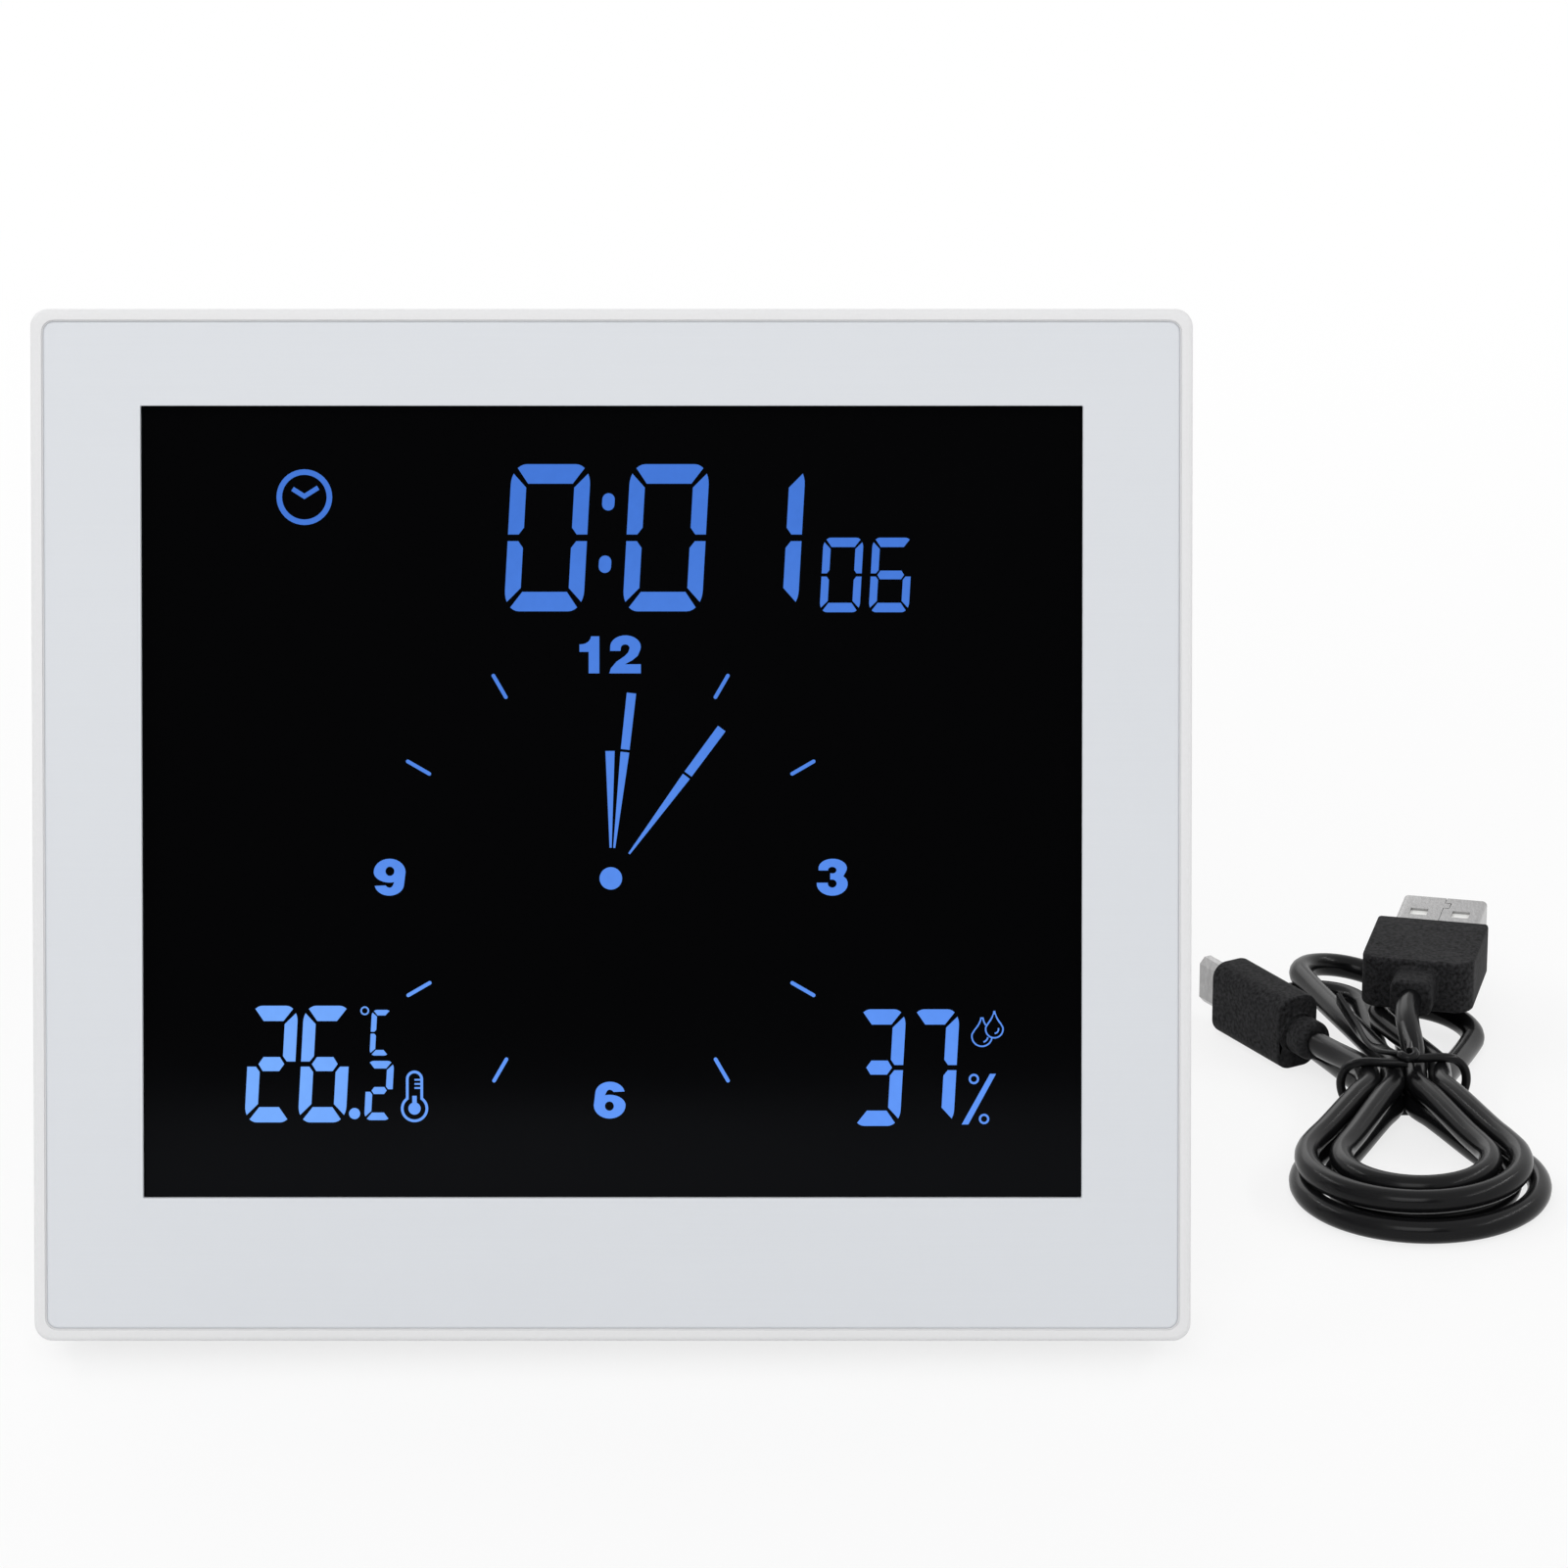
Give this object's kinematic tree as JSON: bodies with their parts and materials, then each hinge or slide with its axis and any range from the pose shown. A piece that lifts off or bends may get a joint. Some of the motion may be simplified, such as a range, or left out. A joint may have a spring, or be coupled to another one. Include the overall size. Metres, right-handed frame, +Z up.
{
  "type": "digital alarm clock",
  "caption": "Desk alarm clock with a framed blue-on-black display for time, dial, temperature and humidity, a fold-out stand, rear keys, a battery flap and a tied power lead.",
  "frame": {"origin": "middle of the clock's footprint at table level, without the loose lead", "axes": "+X to the right along the frame, +Y from the display to the back, +Z up"},
  "size_m": [0.1985, 0.1345, 0.1291],
  "materials": {
    "frame_white": "fine matt grain",
    "plate_silver": "satin, faint level brushing",
    "button_grey": "matt",
    "display_black": "gloss",
    "display_glass": "clear",
    "light_plastic": "clear to milky",
    "carrier_white": "matt",
    "foam": "matt foam",
    "steel": "plated",
    "tin": "tin plated",
    "amber_film": "satin",
    "board_green": "satin lacquer",
    "black_plastic": "matt",
    "brass": "bright",
    "white_plastic": "satin",
    "rubber": "matt",
    "cell_wrap": "gloss film",
    "grip_black": "grained",
    "cord_black": "soft gloss"
  },
  "bodies": {
    "case": {"front_frame": "frame_white", "face_plate": "plate_silver", "plate_tape": "foam", "window_gasket": "foam", "lcd_polariser": "display_black", "lcd_front_glass": "display_glass", "lcd_rear_glass": "display_glass", "diffuser_sheet": "light_plastic", "light_guide": "light_plastic", "reflector_sheet": "light_plastic", "led_bar": "carrier_white", "display_carrier": "carrier_white", "carrier_screws": "steel", "flex_lead": "amber_film", "flex_socket": "carrier_white", "main_board": "board_green", "board_screws": "steel", "control_chip": "black_plastic", "buzzer": "brass", "climate_sensor": "carrier_white", "tact_switches": "black_plastic", "inlet_shell": "tin", "inlet_tongue": "black_plastic", "rear_cover": "frame_white", "case_screws": "steel", "stand_pin": "steel", "feet": "rubber", "battery_cells": "cell_wrap", "battery_springs": "tin", "battery_contacts": "tin", "plug_a_shell": "tin", "plug_a_insert": "white_plastic", "plug_a_contacts": "brass", "plug_a_grip": "grip_black", "plug_b_shell": "tin", "plug_b_insert": "black_plastic", "plug_b_grip": "grip_black", "lead_a": "cord_black", "lead_b": "cord_black", "cord_hank": "cord_black", "cord_tie": "cord_black"},
    "stand": {"stand": "frame_white", "stand_pad": "rubber"},
    "battery_door": {"battery_door": "frame_white"},
    "mode_key": {"mode_button": "button_grey", "mode_plunger": "black_plastic"},
    "up_key": {"up_button": "button_grey", "up_plunger": "black_plastic"},
    "down_key": {"down_button": "button_grey", "down_plunger": "black_plastic"},
    "alarm_key": {"alarm_button": "button_grey", "alarm_plunger": "black_plastic"},
    "snooze_key": {"snooze_button": "button_grey", "snooze_plunger": "black_plastic"}
  },
  "joints": [
    {"name": "stand_hinge", "type": "hinge", "parent": "case", "child": "stand", "pos_m": [0, 0.01523, 0.07911], "axis": [-1, 0, 0], "range_deg": [0, 30]},
    {"name": "battery_door_hinge", "type": "hinge", "parent": "case", "child": "battery_door", "pos_m": [-0.04665, -0.0043, 0.01543], "axis": [-1, 0, 0], "range_deg": [0, 70]},
    {"name": "mode_press", "type": "slide", "parent": "case", "child": "mode_key", "axis": [0, -0.9511, 0.309], "range_m": [0, 0.0005], "stiffness_N_per_m": 1500},
    {"name": "up_press", "type": "slide", "parent": "case", "child": "up_key", "axis": [0, -0.9511, 0.309], "range_m": [0, 0.0005], "stiffness_N_per_m": 1500},
    {"name": "down_press", "type": "slide", "parent": "case", "child": "down_key", "axis": [0, -0.9511, 0.309], "range_m": [0, 0.0005], "stiffness_N_per_m": 1500},
    {"name": "alarm_press", "type": "slide", "parent": "case", "child": "alarm_key", "axis": [0, -0.9511, 0.309], "range_m": [0, 0.0005], "stiffness_N_per_m": 1500},
    {"name": "snooze_press", "type": "slide", "parent": "case", "child": "snooze_key", "axis": [0, -0.9511, 0.309], "range_m": [0, 0.0005], "stiffness_N_per_m": 1500}
  ]
}
